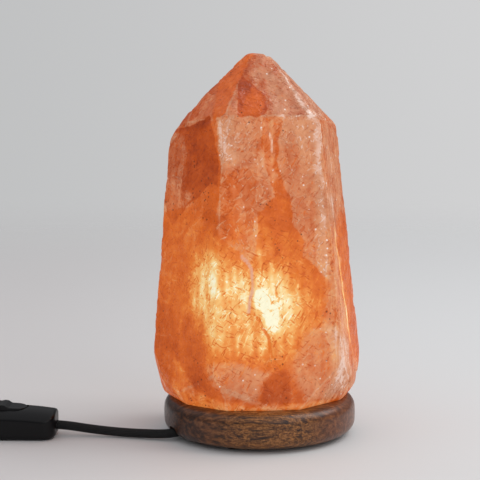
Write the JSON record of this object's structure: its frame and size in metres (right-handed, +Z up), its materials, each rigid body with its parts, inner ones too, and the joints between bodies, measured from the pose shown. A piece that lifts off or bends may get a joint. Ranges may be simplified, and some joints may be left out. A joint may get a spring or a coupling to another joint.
{
  "type": "salt crystal lamp",
  "caption": "Salt crystal lamp: a faceted, glowing point of rock salt on a round wooden base, lit by a small bulb inside, on a braided cord with an inline rocker switch and a plug.",
  "frame": {"origin": "on the axis of the wooden base, on the surface that the lamp stands on", "axes": "+Z up, -Y towards the front of the lamp, -X towards the side where the cord leaves"},
  "size_m": [0.427, 0.1676, 0.256],
  "materials": {
    "salt": "hewn translucent rock salt, lit orange from inside",
    "dark_wood": "turned, stained dark and waxed",
    "felt": "black felt",
    "zinc_steel": "zinc-plated",
    "spring_steel": "sprung sheet",
    "nickel": "nickel-plated",
    "brass": "bright",
    "white_ceramic": "white, smooth",
    "black_plastic": "satin black, moulded",
    "black_resin": "dark moulded insulation",
    "clear_glass": "clear, blown",
    "filament": "glowing tungsten",
    "copper_wire": "brown insulation",
    "blue_wire": "blue insulation",
    "black_braid": "woven textile sleeve",
    "black_rubber": "soft, matt"
  },
  "bodies": {
    "lamp": {"base_feet": "felt", "wooden_base": "dark_wood", "cord_strap": "zinc_steel", "cord_strap_screws": "zinc_steel", "crystal_screws": "zinc_steel", "salt_crystal": "salt", "holder_cap": "black_resin", "holder_shell": "black_resin", "holder_insert": "white_ceramic", "holder_screw_shell": "brass", "holder_centre_contact": "brass", "holder_terminals": "brass", "holder_terminal_screws": "zinc_steel", "holder_live_wire": "copper_wire", "holder_neutral_wire": "blue_wire", "holder_spring_clip": "spring_steel", "switch_lower_housing": "black_plastic", "switch_upper_housing": "black_plastic", "switch_terminals": "brass", "switch_terminal_screws": "zinc_steel", "switch_cord_clamps": "black_resin", "switch_clamp_screws": "zinc_steel", "switch_housing_screws": "zinc_steel", "switch_live_wires": "copper_wire", "switch_neutral_wire": "blue_wire", "cord_in_base": "black_braid", "cord_lamp_to_switch": "black_braid", "cord_switch_to_coil": "black_braid", "cord_coil": "black_braid", "cord_coil_to_plug": "black_braid", "coil_tie": "black_rubber", "plug_strain_relief": "black_rubber", "plug_body": "black_plastic", "plug_pins": "nickel", "plug_pin_sleeves": "black_resin"},
    "bulb_lifted": {"bulb_tip_contact": "nickel"},
    "bulb_turned": {"bulb_insulator": "black_resin", "bulb_cap": "nickel", "bulb_glass": "clear_glass", "bulb_stem": "clear_glass", "bulb_lead_wires": "nickel", "bulb_filament": "filament"},
    "rocker": {"switch_rocker": "black_plastic", "switch_plunger": "white_ceramic", "switch_plunger_spring": "spring_steel"},
    "lever": {"switch_contact_lever": "brass"}
  },
  "joints": [
    {"name": "bulb_lift", "type": "slide", "parent": "lamp", "child": "bulb_lifted", "axis": [0, 0, 1], "range_m": [0, 0.0113]},
    {"name": "bulb_turn", "type": "hinge", "parent": "bulb_lifted", "child": "bulb_turned", "pos_m": [0, 0, 0.05], "axis": [0, 0, 1], "range_deg": [0, 1440]},
    {"name": "rocker_tilt", "type": "hinge", "parent": "lamp", "child": "rocker", "pos_m": [-0.1726, -0.0141, 0.0154], "axis": [0.0262, 0.9997, 0], "range_deg": [-20, 0]},
    {"name": "lever_tilt", "type": "hinge", "parent": "lamp", "child": "lever", "pos_m": [-0.1726, -0.0141, 0.0064], "axis": [0.0262, 0.9997, 0], "range_deg": [0, 12]}
  ],
  "couplings": [
    {"joint": "bulb_lift", "follows": "bulb_turn", "m_per_rad": 0.00044882},
    {"joint": "lever_tilt", "follows": "rocker_tilt", "ratio": -0.6}
  ]
}
